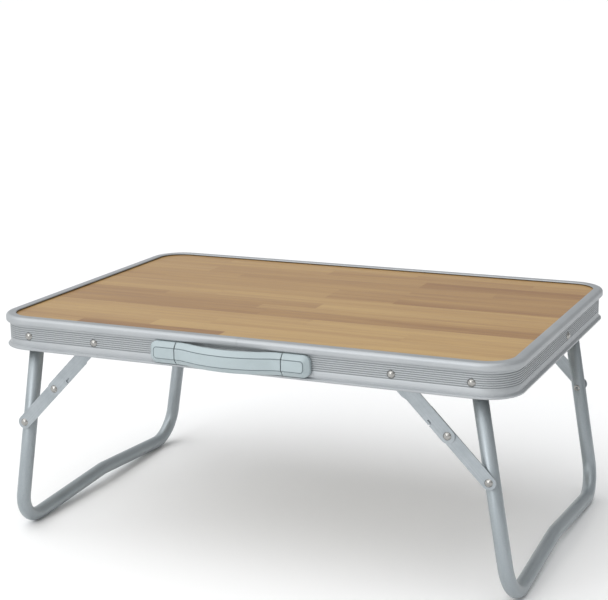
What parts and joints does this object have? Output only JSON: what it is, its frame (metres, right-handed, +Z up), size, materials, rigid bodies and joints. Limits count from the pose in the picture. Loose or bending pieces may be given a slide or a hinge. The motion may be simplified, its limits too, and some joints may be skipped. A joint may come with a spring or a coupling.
{
  "type": "folding side table",
  "caption": "Low folding camp table: a wood-grain board in a ribbed metal rail, on two U-shaped tube legs held open by folding braces, with a carrying handle on one long side.",
  "frame": {"origin": "on the floor, under the middle of the table top, legs open", "axes": "+X along the long rails, +Y from the handle side to the back, +Z up"},
  "size_m": [0.6038, 0.4237, 0.261],
  "materials": {
    "board": "printed laminate of narrow wood strips, satin",
    "rail": "satin anodised extrusion",
    "splice": "mill",
    "batten": "zinc plated",
    "handle_caps": "fine matt",
    "handle_grip": "fine matt",
    "screws": "zinc plated",
    "leg_tube": "satin silver-grey paint",
    "bushes": "zinc plated",
    "braces": "zinc plated, satin",
    "rivets": "bright nickel plated"
  },
  "bodies": {
    "table_frame": {"table_board": "board", "frame_rail": "rail", "frame_splice": "splice", "centre_batten": "batten", "batten_rivets": "rivets", "handle_cap_left": "handle_caps", "handle_cap_right": "handle_caps", "handle_screws": "screws", "leg_pivot_rivets_left": "rivets", "leg_pivot_rivets_right": "rivets", "leg_pivot_bushes_left": "bushes", "leg_pivot_bushes_right": "bushes", "brace_top_rivets": "rivets"},
    "handle_grip": {"handle_grip": "handle_grip"},
    "leg_left": {"leg_frame_left": "leg_tube", "brace_foot_pins_left": "rivets", "brace_foot_bushes_left": "bushes"},
    "brace_upper_front_left": {"brace_upper_front_left": "braces", "brace_mid_rivet_front_left": "rivets"},
    "brace_lower_front_left": {"brace_lower_front_left": "braces", "brace_foot_rivet_front_left": "rivets"},
    "brace_upper_back_left": {"brace_upper_back_left": "braces", "brace_mid_rivet_back_left": "rivets"},
    "brace_lower_back_left": {"brace_lower_back_left": "braces", "brace_foot_rivet_back_left": "rivets"},
    "leg_right": {"leg_frame_right": "leg_tube", "brace_foot_pins_right": "rivets", "brace_foot_bushes_right": "bushes"},
    "brace_upper_front_right": {"brace_upper_front_right": "braces", "brace_mid_rivet_front_right": "rivets"},
    "brace_lower_front_right": {"brace_lower_front_right": "braces", "brace_foot_rivet_front_right": "rivets"},
    "brace_upper_back_right": {"brace_upper_back_right": "braces", "brace_mid_rivet_back_right": "rivets"},
    "brace_lower_back_right": {"brace_lower_back_right": "braces", "brace_foot_rivet_back_right": "rivets"}
  },
  "joints": [
    {"name": "grip_slide", "type": "slide", "parent": "table_frame", "child": "handle_grip", "axis": [0, -1, 0], "range_m": [0, 0.0035]},
    {"name": "leg_left_fold", "type": "hinge", "parent": "table_frame", "child": "leg_left", "pos_m": [-0.256, 0, 0.2396], "axis": [0, -1, 0], "range_deg": [0, 99.3]},
    {"name": "brace_upper_front_left_fold", "type": "hinge", "parent": "table_frame", "child": "brace_upper_front_left", "pos_m": [-0.1724, -0.19285, 0.2396], "axis": [0, -1, 0], "range_deg": [0, 134.21]},
    {"name": "brace_lower_front_left_fold", "type": "hinge", "parent": "brace_upper_front_left", "child": "brace_lower_front_left", "pos_m": [-0.23004, -0.19285, 0.18033], "axis": [0, -1, 0], "range_deg": [-180.01, 0]},
    {"name": "brace_upper_back_left_fold", "type": "hinge", "parent": "table_frame", "child": "brace_upper_back_left", "pos_m": [-0.1724, 0.19285, 0.2396], "axis": [0, -1, 0], "range_deg": [0, 134.21]},
    {"name": "brace_lower_back_left_fold", "type": "hinge", "parent": "brace_upper_back_left", "child": "brace_lower_back_left", "pos_m": [-0.23004, 0.19285, 0.18033], "axis": [0, -1, 0], "range_deg": [-180.01, 0]},
    {"name": "leg_right_fold", "type": "hinge", "parent": "table_frame", "child": "leg_right", "pos_m": [0.256, 0, 0.2396], "axis": [0, 1, 0], "range_deg": [0, 99.3]},
    {"name": "brace_upper_front_right_fold", "type": "hinge", "parent": "table_frame", "child": "brace_upper_front_right", "pos_m": [0.1724, -0.19285, 0.2396], "axis": [0, 1, 0], "range_deg": [0, 134.21]},
    {"name": "brace_lower_front_right_fold", "type": "hinge", "parent": "brace_upper_front_right", "child": "brace_lower_front_right", "pos_m": [0.23004, -0.19285, 0.18033], "axis": [0, 1, 0], "range_deg": [-180.01, 0]},
    {"name": "brace_upper_back_right_fold", "type": "hinge", "parent": "table_frame", "child": "brace_upper_back_right", "pos_m": [0.1724, 0.19285, 0.2396], "axis": [0, 1, 0], "range_deg": [0, 134.21]},
    {"name": "brace_lower_back_right_fold", "type": "hinge", "parent": "brace_upper_back_right", "child": "brace_lower_back_right", "pos_m": [0.23004, 0.19285, 0.18033], "axis": [0, 1, 0], "range_deg": [-180.01, 0]}
  ],
  "couplings": [
    {"joint": "brace_upper_front_left_fold", "follows": "leg_left_fold", "ratio": 1.3515},
    {"joint": "brace_lower_front_left_fold", "follows": "leg_left_fold", "ratio": -1.8127},
    {"joint": "brace_upper_back_left_fold", "follows": "leg_left_fold", "ratio": 1.3515},
    {"joint": "brace_lower_back_left_fold", "follows": "leg_left_fold", "ratio": -1.8127},
    {"joint": "brace_upper_front_right_fold", "follows": "leg_right_fold", "ratio": 1.3515},
    {"joint": "brace_lower_front_right_fold", "follows": "leg_right_fold", "ratio": -1.8127},
    {"joint": "brace_upper_back_right_fold", "follows": "leg_right_fold", "ratio": 1.3515},
    {"joint": "brace_lower_back_right_fold", "follows": "leg_right_fold", "ratio": -1.8127}
  ]
}
